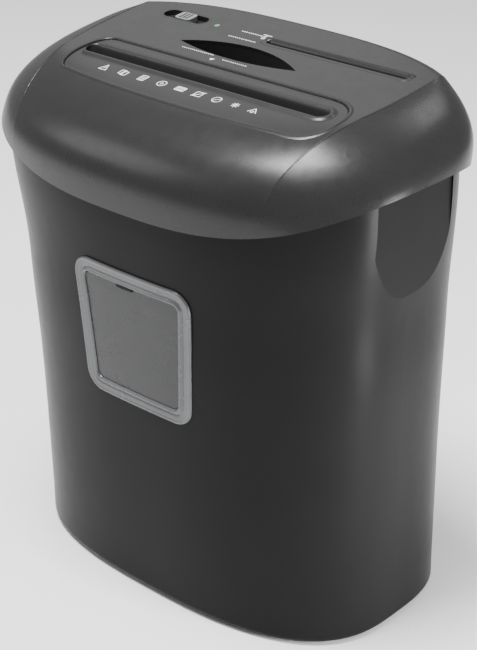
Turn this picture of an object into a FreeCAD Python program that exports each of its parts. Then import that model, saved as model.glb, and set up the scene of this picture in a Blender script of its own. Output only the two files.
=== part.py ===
import FreeCAD, Part
import math
import os

# Paper shredder: a waste bin with a window, and a cutting head that lifts off it.
# Millimetres. Origin: middle of the footprint, on the surface that it stands on.
# +X is the user's right, -Y is the front, +Z is up.

V = FreeCAD.Vector
X_AXIS = V(1, 0, 0)
Y_AXIS = V(0, 1, 0)
Z_AXIS = V(0, 0, 1)

# --- head outline at its lower rim -------------------------------------------------
RIM_HALF_W = 179.7
RIM_MID_Y = -12.0        # widest place
RIM_FRONT_Y = -107.4
RIM_BACK_Y = 107.4
RIM_N_FRONT = 2.49       # squareness of the rounded front corners
RIM_N_BACK = 2.82        # squareness of the back corners
RIM_Z = 309.0            # lower edge at the middle of the front
RIM_RISE = 34.6          # how much higher the lower edge is at the two ends
RIM_RISE_POWER = 2.93

# --- head top ----------------------------------------------------------------------
TOP_Z = 378.9            # top surface at the paper slot
TOP_SLOPE = 0.114        # it climbs towards the back
SLOT_Y = -22.0
CREST_FRONT_DEPTH = 70.6  # depth of the rounded front shoulder
CREST_BACK_DEPTH = 20.4
CREST_POWER = 2.21
CREASE_X = 136.0         # half-width between the creases of the end caps
CREASE_Y = 39.4          # where the creases are furthest apart
CREASE_FRONT = 4.35      # how far they close in over 60 mm towards the front
CREASE_BACK = 18.2       # and over 115 mm towards the back
CAP_ROUND = 0.93         # share of a quarter circle that an end cap's section uses
WALL = 2.6
SCREW_X, SCREW_Y = 146.0, 40.0
SCREW_R = 1.5
BOSS_R = 4.6
COUNTERSINK = 1.6
BASE_T = 2.6             # sheet of the head's lower shell

# --- bin -----------------------------------------------------------------------------
FOOT_H = 2.0
BIN_BASE = dict(half_w=157.5, front=-90.4, back=98.6, mid=0.2, n_front=2.69, n_back=3.22)
BIN_TOP = dict(half_w=172.8, front=-101.9, back=101.9, mid=-12.0, n_front=2.47, n_back=2.9)
BIN_FLARE_POWER = 2.57
BIN_TOP_Z = 322.0        # height from which BIN_TOP holds
BIN_FORM_Z = 356.0       # height of the form that the curved upper edge is cut from
BIN_LAP = 3.0            # the bin's edge stands this far up inside the head's rim
LAP_CLEAR = 0.35         # gap around the bin's edge inside the head's rim
LIFT_GAP = 0.4           # gap between the bin's edge and the head that rests over it
GRIP_X = 166.5           # flat faces of the finger grips in the two ends of the bin
GRIP_Y0, GRIP_Y1 = -42.0, 36.0

# --- window --------------------------------------------------------------------------
WINDOW_Z0 = 156.6
WINDOW_Z1 = 260.9
WINDOW_W_TOP = 112.5
WINDOW_W_BOTTOM = 101.3
WINDOW_CORNER = 15.0
WINDOW_FRAME_W = 11.0
WINDOW_PROUD = 1.6

# --- top features --------------------------------------------------------------------
PAD_X0, PAD_X1 = -114.0, 123.0
PAD_BACK_Y = -2.0
PAD_FRONT_Y = -58.0      # at the middle; the front edge curves back towards its ends
PAD_FRONT_CURVE = 9.0
PAD_END_LEFT = 13.0      # length of the rounded left end, and of the fuller right end
PAD_END_RIGHT = 27.0
PAD_SUNK = 0.8
SLOT_HALF_W = 110.0
SLOT_OPEN = 11.0         # width of the paper slot between its lips
THROAT = 6.0             # width where the paper reaches the cutters
POCKET_X0, POCKET_X1 = -60.0, 47.5
POCKET_Y = 20.0
POCKET_FRONT_BULGE = 7.5
POCKET_BACK_BULGE = 15.5
POCKET_DEPTH = 24.0
DISC_X0, DISC_X1 = -3.5, 119.5
DISC_Y = 49.6
DISC_SLOT = 5.4
SWITCH_X, SWITCH_Y = -87.0, 54.5
SWITCH_HALF_L, SWITCH_HALF_W = 22.0, 7.8
LED_X, LED_Y = -55.0, 53.0
INLET_X, INLET_Z = -60.0, 338.0

# --- cutting block -------------------------------------------------------------------
SHAFT_Z = 322.0
SHAFT_GAP = 42.0         # between the two cutter shafts
FRONT_Y = SLOT_Y - SHAFT_GAP / 2
REAR_Y = SLOT_Y + SHAFT_GAP / 2
CUTTER_R = 23.5
CUTTER_ROOT_R = 21.0
CUTTER_T = 3.6
CUTTER_PITCH = 8.0
CUTTER_POINTS = 5
FRONT_CUTTERS = 28
SPACER_R = 17.5
HEX_R = 8.0              # hexagon shaft, corner radius
JOURNAL_R = 6.0
RUN_CLEAR = 0.05         # radial clearance of a shaft in its bush
PLATE_LEFT = -113.0      # inner faces of the two bearing plates
PLATE_RIGHT = 121.5
PLATE_T = 2.5
PLATE_TOP = 354.0
FLOOR_Z = 286.0          # underside of the head
FLOOR_T = 3.0

# --- disc cutter ---------------------------------------------------------------------
DISC_SHAFT_GAP = 24.0
DISC_CUTTER_R = 13.0
DISC_CUTTER_T = 3.4
DISC_CUTTERS = 14
DISC_SPACER_R = 9.6
DISC_JOURNAL_R = 4.0
DISC_PLATE_X = -13.0

# --- drive ---------------------------------------------------------------------------
MOTOR_Y, MOTOR_Z = 54.0, 322.0
MOTOR_R = 26.0
MOTOR_X0, MOTOR_X1 = -111.0, -36.0
SYNC_MODULE = 1.5
SYNC_TEETH = 28
TRANSFER_TEETH = 14
DISC_TEETH = 16
FINAL_MODULE = 1.25
FINAL_TEETH = 44
TWO_SMALL_TEETH = 12
TWO_MODULE = 1.0
TWO_BIG_TEETH = 40
ONE_SMALL_TEETH = 10
ONE_MODULE = 0.8
ONE_BIG_TEETH = 50
PINION_TEETH = 10
TWO_ANGLE = 25.0         # direction of gear two seen from the rear cutter shaft
SYNC_X0, SYNC_X1 = 126.0, 131.0
PAIR_MODULE = 1.2        # gears that tie the two disc shafts together
PAIR_TEETH = 20
PAIR_X0, PAIR_X1 = -19.0, -14.5
LAYER_A = (-121.5, -117.5)
LAYER_B = (-127.0, -122.0)
LAYER_C = (-134.5, -127.5)
STUD_R = 2.5
BACKLASH = 0.16          # share of the tooth spacing that each tooth is thinned by
ADDENDUM = 0.9           # tooth height and depth, in modules
DEDENDUM = 1.2

# --- sensing and electrics -----------------------------------------------------------
INTERLOCK_X, INTERLOCK_Y = 60.0, 99.4
LEVER_Y, LEVER_Z = SLOT_Y + 20.0, 360.0
BOARD_Z = 353.5
BOARD_T = 1.6
BOARD_X0, BOARD_X1 = -110.0, -76.0
BOARD_Y0, BOARD_Y1 = 28.0, 80.0


# --- plain solids ----------------------------------------------------------------------
def box(x0, x1, y0, y1, z0, z1):
    return Part.makeBox(x1 - x0, y1 - y0, z1 - z0, V(x0, y0, z0))


def rod_x(y, z, radius, x0, x1):
    return Part.makeCylinder(radius, x1 - x0, V(x0, y, z), X_AXIS)


def rod_y(x, z, radius, y0, y1):
    return Part.makeCylinder(radius, y1 - y0, V(x, y0, z), Y_AXIS)


def rod_z(x, y, radius, z0, z1):
    return Part.makeCylinder(radius, z1 - z0, V(x, y, z0), Z_AXIS)


def union(solids):
    return solids[0].fuse(solids[1:]).removeSplitter()


def prism(points, direction):
    return Part.Face(Part.makePolygon(points + points[:1])).extrude(direction)


def group(solids):
    return Part.makeCompound(solids)


def tilted(shape):
    """Turn a shape made level at the paper slot so that it lies on the sloping top."""
    shape.rotate(V(0, SLOT_Y, TOP_Z), X_AXIS, math.degrees(math.atan(TOP_SLOPE)))
    return shape


def top_z(y):
    return TOP_Z + TOP_SLOPE * (y - SLOT_Y)


# --- outlines --------------------------------------------------------------------------
def super_y(x, half_w, reach, power):
    """Distance from the widest line to a superellipse at x."""
    share = min(abs(x) / half_w, 1.0)
    return reach * (1.0 - share ** power) ** (1.0 / power)


def outline_wire(half_w, front, back, mid, n_front, n_back, z):
    points = []
    steps = 64
    for i in range(steps):
        turn = 2 * math.pi * i / steps
        c, s = math.cos(turn), math.sin(turn)
        power = n_front if s < 0 else n_back
        reach = mid - front if s < 0 else back - mid
        x = half_w * math.copysign(abs(c) ** (2 / power), c)
        y = mid + reach * math.copysign(abs(s) ** (2 / power), s)
        points.append(V(x, y, z))
    curve = Part.BSplineCurve()
    curve.interpolate(points, PeriodicFlag=True)
    return Part.Wire(curve.toShape())


def rim_z(x):
    return RIM_Z + RIM_RISE * (abs(x) / RIM_HALF_W) ** RIM_RISE_POWER


def under_rim(lift):
    """Everything below the curved parting line, raised by lift."""
    reach, deep, low = 200.0, 260.0, -10.0
    xs = [reach * (i / 10.0 - 1.0) for i in range(21)]
    points = [V(x, -deep / 2, rim_z(x) + lift) for x in xs]
    curve = Part.BSplineCurve()
    curve.interpolate(points)
    sides = Part.makePolygon([points[-1], V(reach, -deep / 2, low), V(-reach, -deep / 2, low), points[0]])
    wire = Part.Wire([curve.toShape()] + sides.Edges)
    return Part.Face(wire).extrude(V(0, deep, 0))


# --- bin -------------------------------------------------------------------------------
def bin_section(z, inset):
    share = (min(max(z, 0.0), BIN_TOP_Z) / BIN_TOP_Z) ** BIN_FLARE_POWER
    size = {key: BIN_BASE[key] + (BIN_TOP[key] - BIN_BASE[key]) * share for key in BIN_BASE}
    size["half_w"] -= inset
    size["front"] += inset
    size["back"] -= inset
    return outline_wire(z=z, **size)


def bin_form(inset, z0, z1):
    steps = 6
    bend = min(z1, BIN_TOP_Z)
    levels = [z0 + (bend - z0) * i / steps for i in range(steps + 1)]
    if z1 > BIN_TOP_Z:
        levels += [(bend + z1) / 2, z1]
    return Part.makeLoft([bin_section(z, inset) for z in levels], True)


def grip(side, grow):
    """Block that leaves a flat finger grip in an end of the bin, under the head's rim."""
    face, reach = GRIP_X - grow, 190.0
    block = box(face, reach, GRIP_Y0 - grow, GRIP_Y1 + grow, 200.0, 380.0)
    if side < 0:
        block = box(-reach, -face, GRIP_Y0 - grow, GRIP_Y1 + grow, 200.0, 380.0)
    return block


def window_prism(inset, corner):
    """Rounded trapezoid through the front wall, smaller all round by inset."""
    top = WINDOW_W_TOP / 2 - inset
    bottom = WINDOW_W_BOTTOM / 2 - inset
    z0, z1 = WINDOW_Z0 + inset, WINDOW_Z1 - inset
    y0, deep = -140.0, 75.0
    block = prism([V(-bottom, y0, z0), V(bottom, y0, z0), V(top, y0, z1), V(-top, y0, z1)], V(0, deep, 0))
    along = [e for e in block.Edges if abs(e.tangentAt(e.FirstParameter).y) > 0.99]
    return block.makeFillet(corner, along)


def make_bin():
    base = FOOT_H
    outer = bin_form(0.0, base, BIN_FORM_Z)
    outer = outer.makeFillet(4.0, [outer.Faces[i].OuterWire.Edges[0] for i in range(len(outer.Faces))
                                   if abs(outer.Faces[i].CenterOfMass.z - base) < 0.01])
    inner = bin_form(WALL, base + 3.0, 358.0)
    for side in (-1, 1):
        outer = outer.cut(grip(side, 0.0))
        inner = inner.cut(grip(side, WALL))
    lap = outer.common(under_rim(BIN_LAP)).common(head_form(WALL + LAP_CLEAR))
    shell = outer.common(under_rim(0.0)).fuse(lap).cut(inner)
    return shell.cut(window_prism(5.0, WINDOW_CORNER - 5.0))


def make_window():
    proud = bin_form(-WINDOW_PROUD, WINDOW_Z0 - 12, WINDOW_Z1 + 12)
    skin = bin_form(-0.05, FOOT_H, BIN_FORM_Z)
    inside = bin_form(WALL + 1.0, WINDOW_Z0 - 16, WINDOW_Z1 + 16)
    sight = WINDOW_FRAME_W
    flange = proud.cut(skin).common(window_prism(0.0, WINDOW_CORNER))
    neck = proud.cut(inside).common(window_prism(5.2, WINDOW_CORNER - 5.2))
    frame = flange.fuse(neck).removeSplitter().cut(window_prism(sight, 6.0))
    pane_front = bin_form(-0.4, WINDOW_Z0 - 12, WINDOW_Z1 + 12)
    pane_back = bin_form(1.6, WINDOW_Z0 - 14, WINDOW_Z1 + 14)
    pane = pane_front.cut(pane_back).common(window_prism(sight + 0.1, 5.9))
    return frame, pane


def make_feet():
    feet = []
    for x in (-112.0, 112.0):
        for y in (-46.0, 68.0):
            feet.append(Part.makeCone(9.0, 10.0, FOOT_H, V(x, y, 0), Z_AXIS))
    return group(feet)


# --- head shell --------------------------------------------------------------------------
def crease_x(y):
    if y < CREASE_Y:
        return CREASE_X - CREASE_FRONT * ((y - CREASE_Y) / 60.0) ** 2
    return CREASE_X - CREASE_BACK * ((y - CREASE_Y) / 115.0) ** 2


def spline(points):
    curve = Part.BSplineCurve()
    curve.interpolate(points)
    return curve.toShape()


def head_section(level, inset):
    """Closed section of the head: a front, a right, a back and a left edge, meeting at the creases."""
    foot = RIM_Z + 13.0
    share = min(max((level + inset - foot) / (TOP_Z - foot), 0.0), 1.0)
    curl = 1.0 - (1.0 - share ** CREST_POWER) ** (1.0 / CREST_POWER)
    cap_foot = RIM_Z + RIM_RISE
    cap = min(max((level + inset - cap_foot) / (TOP_Z - cap_foot), 0.0), 1.0)
    half_w = RIM_HALF_W - (RIM_HALF_W - CREASE_X) * \
        (1.0 - math.sqrt(1.0 - (CAP_ROUND * cap) ** 2)) / (1.0 - math.sqrt(1.0 - CAP_ROUND ** 2))
    front_in = CREST_FRONT_DEPTH * curl + inset
    back_in = CREST_BACK_DEPTH * curl + inset + 4.0 * share

    def front_y(x):
        return RIM_MID_Y - super_y(x, RIM_HALF_W, RIM_MID_Y - RIM_FRONT_Y, RIM_N_FRONT) + front_in

    def back_y(x):
        return RIM_MID_Y + super_y(x, RIM_HALF_W, RIM_BACK_Y - RIM_MID_Y, RIM_N_BACK) - back_in

    y_front, y_back = RIM_FRONT_Y, RIM_BACK_Y
    for _ in range(8):
        x_front = crease_x(y_front)
        y_front = front_y(x_front)
        x_back = crease_x(y_back)
        y_back = back_y(x_back)
    half_w = max(half_w - inset, max(x_front, x_back) + 0.1)
    mid = RIM_MID_Y + (CREASE_Y - RIM_MID_Y) * share
    n_back = RIM_N_BACK + (2.6 - RIM_N_BACK) * share
    reach_front = (mid - y_front) / (1.0 - (x_front / half_w) ** RIM_N_FRONT) ** (1.0 / RIM_N_FRONT)
    reach_back = (y_back - mid) / (1.0 - (x_back / half_w) ** n_back) ** (1.0 / n_back)

    def end_x(y):
        if y < mid:
            return half_w * (1.0 - ((mid - y) / reach_front) ** RIM_N_FRONT) ** (1.0 / RIM_N_FRONT)
        return half_w * (1.0 - ((y - mid) / reach_back) ** n_back) ** (1.0 / n_back)

    def place(x, y):
        return V(x, y, level + TOP_SLOPE * (y - SLOT_Y) * share)

    steps = 12
    across = [2.0 * i / steps - 1.0 for i in range(steps + 1)]
    front = [place(t * x_front, front_y(t * x_front)) for t in across]
    back = [place(-t * x_back, back_y(t * x_back)) for t in across]
    ys = [y_front + (y_back - y_front) * (1.0 + t) / 2.0 for t in across]
    right = [front[-1]] + [place(end_x(y), y) for y in ys[1:-1]] + [back[0]]
    left = [back[-1]] + [place(-end_x(y), y) for y in reversed(ys[1:-1])] + [front[0]]
    return Part.Wire([spline(front), spline(right), spline(back), spline(left)])


def head_form(inset):
    levels = [294.0, 308.0, 322.0, 334.0, 344.0, 352.0, 359.0, 365.0, 370.0, 374.0, 377.0]
    levels = [level for level in levels if level < TOP_Z - inset - 0.8] + [TOP_Z - inset]
    return Part.makeLoft([head_section(level, inset) for level in levels], True)


def pad_front_y(x):
    mid, half = (PAD_X0 + PAD_X1) / 2, (PAD_X1 - PAD_X0) / 2
    return PAD_FRONT_Y + PAD_FRONT_CURVE * (abs(x - mid) / half) ** 2.5


def pad_end(x, length, side, inset):
    """Half of a superellipse that closes an end of the pad, from its back edge to its front edge."""
    front, back = pad_front_y(x) + inset, PAD_BACK_Y - inset
    mid, half = (front + back) / 2, (back - front) / 2
    points = []
    steps = 16
    power = 2 / 2.4
    for i in range(steps + 1):
        turn = math.pi * (0.5 - i / steps)
        c, s = math.cos(turn), math.sin(turn)
        points.append((x + side * (length - inset) * max(c, 0.0) ** power,
                       mid + half * math.copysign(abs(s) ** power, s)))
    return points


def pad_prism(inset):
    """Upright prism over the outline of the sunken pad."""
    left, right = PAD_X0 + PAD_END_LEFT, PAD_X1 - PAD_END_RIGHT
    steps = 20
    front = [right + (left - right) * i / steps for i in range(1, steps)]
    outline = pad_end(right, PAD_END_RIGHT, 1, inset)
    outline += [(x, pad_front_y(x) + inset) for x in front]
    outline += list(reversed(pad_end(left, PAD_END_LEFT, -1, inset)))
    low, high = 345.0, 420.0
    return prism([V(x, y, low) for x, y in outline], V(0, 0, high - low))


def lens_prism(grow, z0, z1):
    """Vertical prism over the lens outline of the finger pocket."""
    mid = (POCKET_X0 + POCKET_X1) / 2
    left = V(POCKET_X0 - 2.0 * grow, POCKET_Y, z0)
    right = V(POCKET_X1 + 2.0 * grow, POCKET_Y, z0)
    front = Part.Arc(left, V(mid, POCKET_Y - POCKET_FRONT_BULGE - grow, z0), right).toShape()
    back = Part.Arc(right, V(mid, POCKET_Y + POCKET_BACK_BULGE + grow, z0), left).toShape()
    return Part.Face(Part.Wire([front, back])).extrude(V(0, 0, z1 - z0))


def slot_cut(half_w, width, y, z0, z1):
    """Upright opening with rounded ends."""
    block = box(-half_w, half_w, y - width / 2, y + width / 2, z0, z1)
    corners = [e for e in block.Edges if abs(e.tangentAt(e.FirstParameter).z) > 0.99]
    return block.makeFillet(width / 2 - 0.1, corners)


def screw_places():
    return [(x, y) for x in (-SCREW_X, SCREW_X) for y in (-SCREW_Y, SCREW_Y)]


def switch_block(half_l, half_w, z0, z1):
    block = box(SWITCH_X - half_l, SWITCH_X + half_l, SWITCH_Y - half_w, SWITCH_Y + half_w, z0, z1)
    corners = [e for e in block.Edges if abs(e.tangentAt(e.FirstParameter).z) > 0.99]
    return block.makeFillet(half_w - 0.2, corners)


def make_head_cover():
    outer = head_form(0.0)
    inner = head_form(WALL)
    shell = outer.cut(inner).cut(under_rim(0.0))
    ceiling = 350.0
    bosses = [rod_z(x, y, BOSS_R, FLOOR_Z + FLOOR_T, ceiling) for x, y in screw_places()]
    tops = [rod_z(x, y, BOSS_R, ceiling - 1.0, TOP_Z).common(outer) for x, y in screw_places()]
    board_bosses = [rod_z(x, y, 2.6, BOARD_Z + BOARD_T, 400.0).common(outer) for x, y in board_corners()]
    shell = shell.fuse(bosses + tops + board_bosses)
    for x, y in screw_places():
        shell = shell.cut(rod_z(x, y, SCREW_R, FLOOR_Z, FLOOR_Z + 18.0))
    shell = shell.cut(pad_prism(0.0))
    shell = shell.cut(tilted(lens_prism(0.0, 365.0, 410.0)))
    shell = shell.cut(tilted(box(DISC_X0 - 3.0, DISC_X1 + 3.0, DISC_Y - 4.6, DISC_Y + 4.6, 365.0, 410.0)))
    shell = shell.cut(tilted(switch_block(SWITCH_HALF_L, SWITCH_HALF_W, 365.0, 410.0)))
    for x, y in indicator_places():
        shell = shell.cut(tilted(rod_z(x, y, 2.2, 365.0, 410.0)))
    return shell.cut(rod_y(INLET_X, INLET_Z, 7.6, 92.0, 120.0))


def indicator_places():
    return [(LED_X, LED_Y)]


def make_slot_pad():
    """Sunken panel that carries the paper slot; it follows the head's surface."""
    skin = head_form(0.0)
    upper = skin.copy()
    upper.translate(V(0, 0, -PAD_SUNK))
    lower = skin
    lower.translate(V(0, 0, -PAD_SUNK - 2.8))
    plate = upper.common(pad_prism(0.1)).cut(lower)
    mouth = slot_cut(SLOT_HALF_W, SLOT_OPEN, SLOT_Y, 360.0, 400.0)
    return plate.cut(mouth)


def make_handle_cup():
    floor = TOP_Z - POCKET_DEPTH
    outer = lens_prism(2.0, floor - 2.0, TOP_Z - WALL - 0.1)
    return tilted(outer.cut(lens_prism(0.0, floor, TOP_Z + 10.0)))


def make_disc_trim():
    x0, x1 = DISC_X0, DISC_X1
    neck = box(x0 - 2.9, x1 + 2.9, DISC_Y - 4.5, DISC_Y + 4.5, TOP_Z - 6.0, TOP_Z)
    lip = box(x0 - 4.0, x1 + 4.0, DISC_Y + DISC_SLOT / 2, DISC_Y + DISC_SLOT / 2 + 3.4, TOP_Z, TOP_Z + 1.2)
    trim = neck.fuse(lip).removeSplitter()
    return tilted(trim.cut(box(x0, x1, DISC_Y - DISC_SLOT / 2, DISC_Y + DISC_SLOT / 2, 360.0, 400.0)))


def make_switch_bezel():
    cup = switch_block(SWITCH_HALF_L - 0.1, SWITCH_HALF_W - 0.1, TOP_Z - 6.0, TOP_Z)
    cup = cup.cut(switch_block(SWITCH_HALF_L - 1.6, SWITCH_HALF_W - 1.6, TOP_Z - 4.0, TOP_Z + 5.0))
    cup = cup.cut(box(SWITCH_X - 11.0, SWITCH_X + 11.0, SWITCH_Y - 2.2, SWITCH_Y + 2.2, 360.0, 400.0))
    return tilted(cup)


def make_switch_button():
    knob = box(SWITCH_X - 7.5, SWITCH_X + 7.5, SWITCH_Y - 5.6, SWITCH_Y + 5.6, TOP_Z - 3.7, TOP_Z + 0.6)
    edges = [e for e in knob.Edges if abs(e.tangentAt(e.FirstParameter).z) > 0.99]
    knob = knob.makeFillet(3.0, edges)
    ribs = [box(SWITCH_X + x - 0.6, SWITCH_X + x + 0.6, SWITCH_Y - 4.0, SWITCH_Y + 4.0, TOP_Z, TOP_Z + 1.4)
            for x in (-3.0, 0.0, 3.0)]
    stem = box(SWITCH_X - 4.0, SWITCH_X + 4.0, SWITCH_Y - 1.8, SWITCH_Y + 1.8, TOP_Z - 8.6, TOP_Z - 2.0)
    return tilted(union([knob, stem] + ribs))


def make_switch_body():
    """Slide switch under the button, with the fork that the stem works in."""
    body = box(SWITCH_X - 17.0, SWITCH_X + 17.0, SWITCH_Y - 7.0, SWITCH_Y + 7.0, TOP_Z - 17.0, TOP_Z - 9.0)
    rails = [box(SWITCH_X - 17.0, SWITCH_X + 17.0, SWITCH_Y + s * 5.0 - 1.5, SWITCH_Y + s * 5.0 + 1.5,
                 TOP_Z - 9.0, TOP_Z - 6.1) for s in (-1, 1)]
    pins = [box(SWITCH_X + x - 0.6, SWITCH_X + x + 0.6, SWITCH_Y - 1.5, SWITCH_Y + 1.5, TOP_Z - 19.5, TOP_Z - 17.0)
            for x in (-12.0, -4.0, 4.0, 12.0)]
    return tilted(union([body] + rails + pins))


def make_indicator():
    lenses = [tilted(rod_z(x, y, 2.1, TOP_Z - 12.0, TOP_Z + 0.2)) for x, y in indicator_places()]
    return group(lenses)


def make_inlet():
    """Grommet in the back wall that the mains lead would come through."""
    neck = rod_y(INLET_X, INLET_Z, 7.5, 96.6, 103.2)
    collar = rod_y(INLET_X, INLET_Z, 9.6, 96.6, 99.6)
    return neck.fuse(collar).removeSplitter().cut(rod_y(INLET_X, INLET_Z, 3.4, 90.0, 115.0))


def tub_wire(inset, z):
    return outline_wire(160.0 - inset, -93.5 + inset, 95.0 - inset, -6.0, 2.85, 3.2, z)


def make_head_base():
    """Lower shell: a flange under the cover's rim and a tub that hangs into the bin."""
    seat = BIN_LAP + LIFT_GAP
    inside_cover = head_form(WALL + 0.1)
    flange = inside_cover.common(under_rim(seat + BASE_T)).cut(under_rim(seat))
    top = RIM_Z + RIM_RISE + seat + BASE_T
    tub_outer = Part.makeLoft([tub_wire(0.0, FLOOR_Z), tub_wire(0.0, top)], True)
    tub_inner = Part.makeLoft([tub_wire(WALL, FLOOR_Z + FLOOR_T), tub_wire(WALL, top + 5.0)], True)
    base = flange.fuse(tub_outer.common(under_rim(seat + BASE_T))).cut(tub_inner)
    below, above = FLOOR_Z - 5.0, FLOOR_Z + FLOOR_T + 3.0
    base = base.cut(box(PLATE_LEFT + 1.0, -PLATE_LEFT - 1.0, FRONT_Y - 20.0, REAR_Y + 17.0, below, above))
    base = base.cut(box(DISC_X0 + 2.0, DISC_X1 - 2.0, DISC_Y - 16.0, DISC_Y + 16.0, below, above))
    for x, y in screw_places():
        base = base.cut(rod_z(x, y, SCREW_R + 0.3, below, above))
        base = base.cut(rod_z(x, y, 3.7, below, FLOOR_Z + COUNTERSINK))
    return base.removeSplitter().cut(interlock_box(0.3, 296.0, 400.0))


def make_cover_screws():
    screws = []
    for x, y in screw_places():
        seat = FLOOR_Z + COUNTERSINK
        screws.append(rod_z(x, y, 3.4, FLOOR_Z, seat).fuse(rod_z(x, y, SCREW_R, seat, seat + 14.0)))
    return group(screws)


def interlock_box(grow, z0, z1):
    return box(INTERLOCK_X - 4.0 - grow, INTERLOCK_X + 4.0 + grow,
               INTERLOCK_Y - 1.1 - grow, INTERLOCK_Y + 1.1 + grow, z0, z1)


def make_interlock():
    edge = rim_z(INTERLOCK_X) + BIN_LAP
    blade = interlock_box(0.0, edge + 0.3, edge + 11.0)
    body = box(INTERLOCK_X - 9.0, INTERLOCK_X + 9.0, INTERLOCK_Y - 5.6, INTERLOCK_Y + 0.5,
               edge + 13.0, edge + 21.0)
    return blade, body


# --- bearing frame -------------------------------------------------------------------------
def plate(x0, x1, back):
    """Bearing plate: cut away below and bored for the shafts that pass through it."""
    y0, y1, z0, z1 = FRONT_Y - 26.0, back, FLOOR_Z + FLOOR_T, PLATE_TOP
    chamfer = 10.0
    points = [V(x0, y0 + chamfer, z1), V(x0, y0, z1 - chamfer), V(x0, y0, z0), V(x0, y1, z0),
              V(x0, y1, z1 - 2 * chamfer), V(x0, y1 - chamfer, z1 - chamfer), V(x0, REAR_Y + 30.0, z1)]
    return prism(points, V(x1 - x0, 0, 0))


def tie_places():
    low, high = SHAFT_Z - 25.0, SHAFT_Z + 25.5
    return [(FRONT_Y - 20.0, low), (REAR_Y + 22.5, low), (FRONT_Y - 19.0, high), (REAR_Y + 20.0, high)]


def bush(y, z, bore, outer, x0, x1):
    return rod_x(y, z, outer, x0, x1).cut(rod_x(y, z, bore, x0 - 1, x1 + 1))


def cutter_bushes():
    parts = []
    for x0 in (PLATE_LEFT - PLATE_T, PLATE_RIGHT):
        for y in (FRONT_Y, REAR_Y):
            parts.append(bush(y, SHAFT_Z, JOURNAL_R + RUN_CLEAR, 9.0, x0, x0 + PLATE_T))
    for y in disc_shaft_ys():
        for x0 in (DISC_PLATE_X, PLATE_RIGHT):
            parts.append(bush(y, SHAFT_Z, DISC_JOURNAL_R + RUN_CLEAR, 6.5, x0, x0 + PLATE_T))
    return parts


def disc_shaft_ys():
    return [DISC_Y - DISC_SHAFT_GAP / 2, DISC_Y + DISC_SHAFT_GAP / 2]


def make_plates():
    left = plate(PLATE_LEFT - PLATE_T, PLATE_LEFT, MOTOR_Y + 20.0)
    right = plate(PLATE_RIGHT, PLATE_RIGHT + PLATE_T, DISC_Y + 24.0)
    disc = box(DISC_PLATE_X, DISC_PLATE_X + PLATE_T, DISC_Y - 22.0, DISC_Y + 22.0, FLOOR_Z + FLOOR_T, 344.0)
    plates = []
    for shape in (left, right, disc):
        for y in (FRONT_Y, REAR_Y):
            shape = shape.cut(rod_x(y, SHAFT_Z, 9.0, -130.0, 130.0))
        for y in disc_shaft_ys():
            shape = shape.cut(rod_x(y, SHAFT_Z, 6.5, DISC_PLATE_X - 10.0, 130.0))
        for y, z in tie_places():
            shape = shape.cut(rod_x(y, z, 2.4, -130.0, 130.0))
        plates.append(shape)
    plates[0] = plates[0].cut(rod_x(MOTOR_Y, MOTOR_Z, 6.9, -130.0, -100.0))
    return plates


def make_tie_rods():
    rods = []
    for y, z in tie_places():
        body = rod_x(y, z, 4.0, PLATE_LEFT, PLATE_RIGHT)
        ends = [rod_x(y, z, 2.4, x, x + PLATE_T) for x in (PLATE_LEFT - PLATE_T, PLATE_RIGHT)]
        rods.append(union([body] + ends))
    return group(rods)


def make_frame_screws():
    screws = []
    for y, z in tie_places():
        for x in (PLATE_LEFT - PLATE_T - 1.6, PLATE_RIGHT + PLATE_T):
            screws.append(rod_x(y, z, 3.4, x, x + 1.6))
    return group(screws)


# --- cutters ---------------------------------------------------------------------------------
def hexagon(y, z, radius, x0, x1):
    points = [V(x0, y + radius * math.cos(math.pi * i / 3), z + radius * math.sin(math.pi * i / 3))
              for i in range(6)]
    return prism(points, V(x1 - x0, 0, 0))


def cutter_disc(y, z, x, thick, root, tip, points, phase):
    """Flat cutter with hooked points round its edge, centred on x."""
    outline = []
    for i in range(points):
        start = phase + 2 * math.pi * i / points
        pitch = 2 * math.pi / points
        for share, radius in ((0.0, tip), (0.14, root), (0.38, root), (0.62, root), (0.86, root + 0.8)):
            turn = start + share * pitch
            outline.append(V(x - thick / 2, y + radius * math.cos(turn), z + radius * math.sin(turn)))
    return prism(outline, V(thick, 0, 0))


def cutter_xs(front):
    first = -(FRONT_CUTTERS - 1) * CUTTER_PITCH / 2
    count = FRONT_CUTTERS if front else FRONT_CUTTERS - 1
    shift = 0.0 if front else CUTTER_PITCH / 2
    return [first + shift + CUTTER_PITCH * i for i in range(count)]


def make_cutter_set(y, front, left_reach):
    xs = cutter_xs(front)
    stagger = math.radians(9.0)
    discs = []
    for i, x in enumerate(xs):
        blade = cutter_disc(y, SHAFT_Z, x, CUTTER_T, CUTTER_ROOT_R, CUTTER_R, CUTTER_POINTS, i * stagger)
        discs.append(blade.cut(hexagon(y, SHAFT_Z, HEX_R, x - 5, x + 5)))
    edges = [PLATE_LEFT + 0.4] + [x + s * CUTTER_T / 2 for x in xs for s in (-1, 1)] + [PLATE_RIGHT - 0.4]
    spacers = []
    for x0, x1 in zip(edges[::2], edges[1::2]):
        spacers.append(rod_x(y, SHAFT_Z, SPACER_R, x0, x1).cut(hexagon(y, SHAFT_Z, HEX_R, x0 - 1, x1 + 1)))
    right_reach = SYNC_X1 + 2.0
    shaft = union([hexagon(y, SHAFT_Z, HEX_R, PLATE_LEFT + 0.2, PLATE_RIGHT - 0.2),
                   rod_x(y, SHAFT_Z, JOURNAL_R, left_reach, right_reach)])
    return shaft, group(discs), group(spacers)


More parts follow.
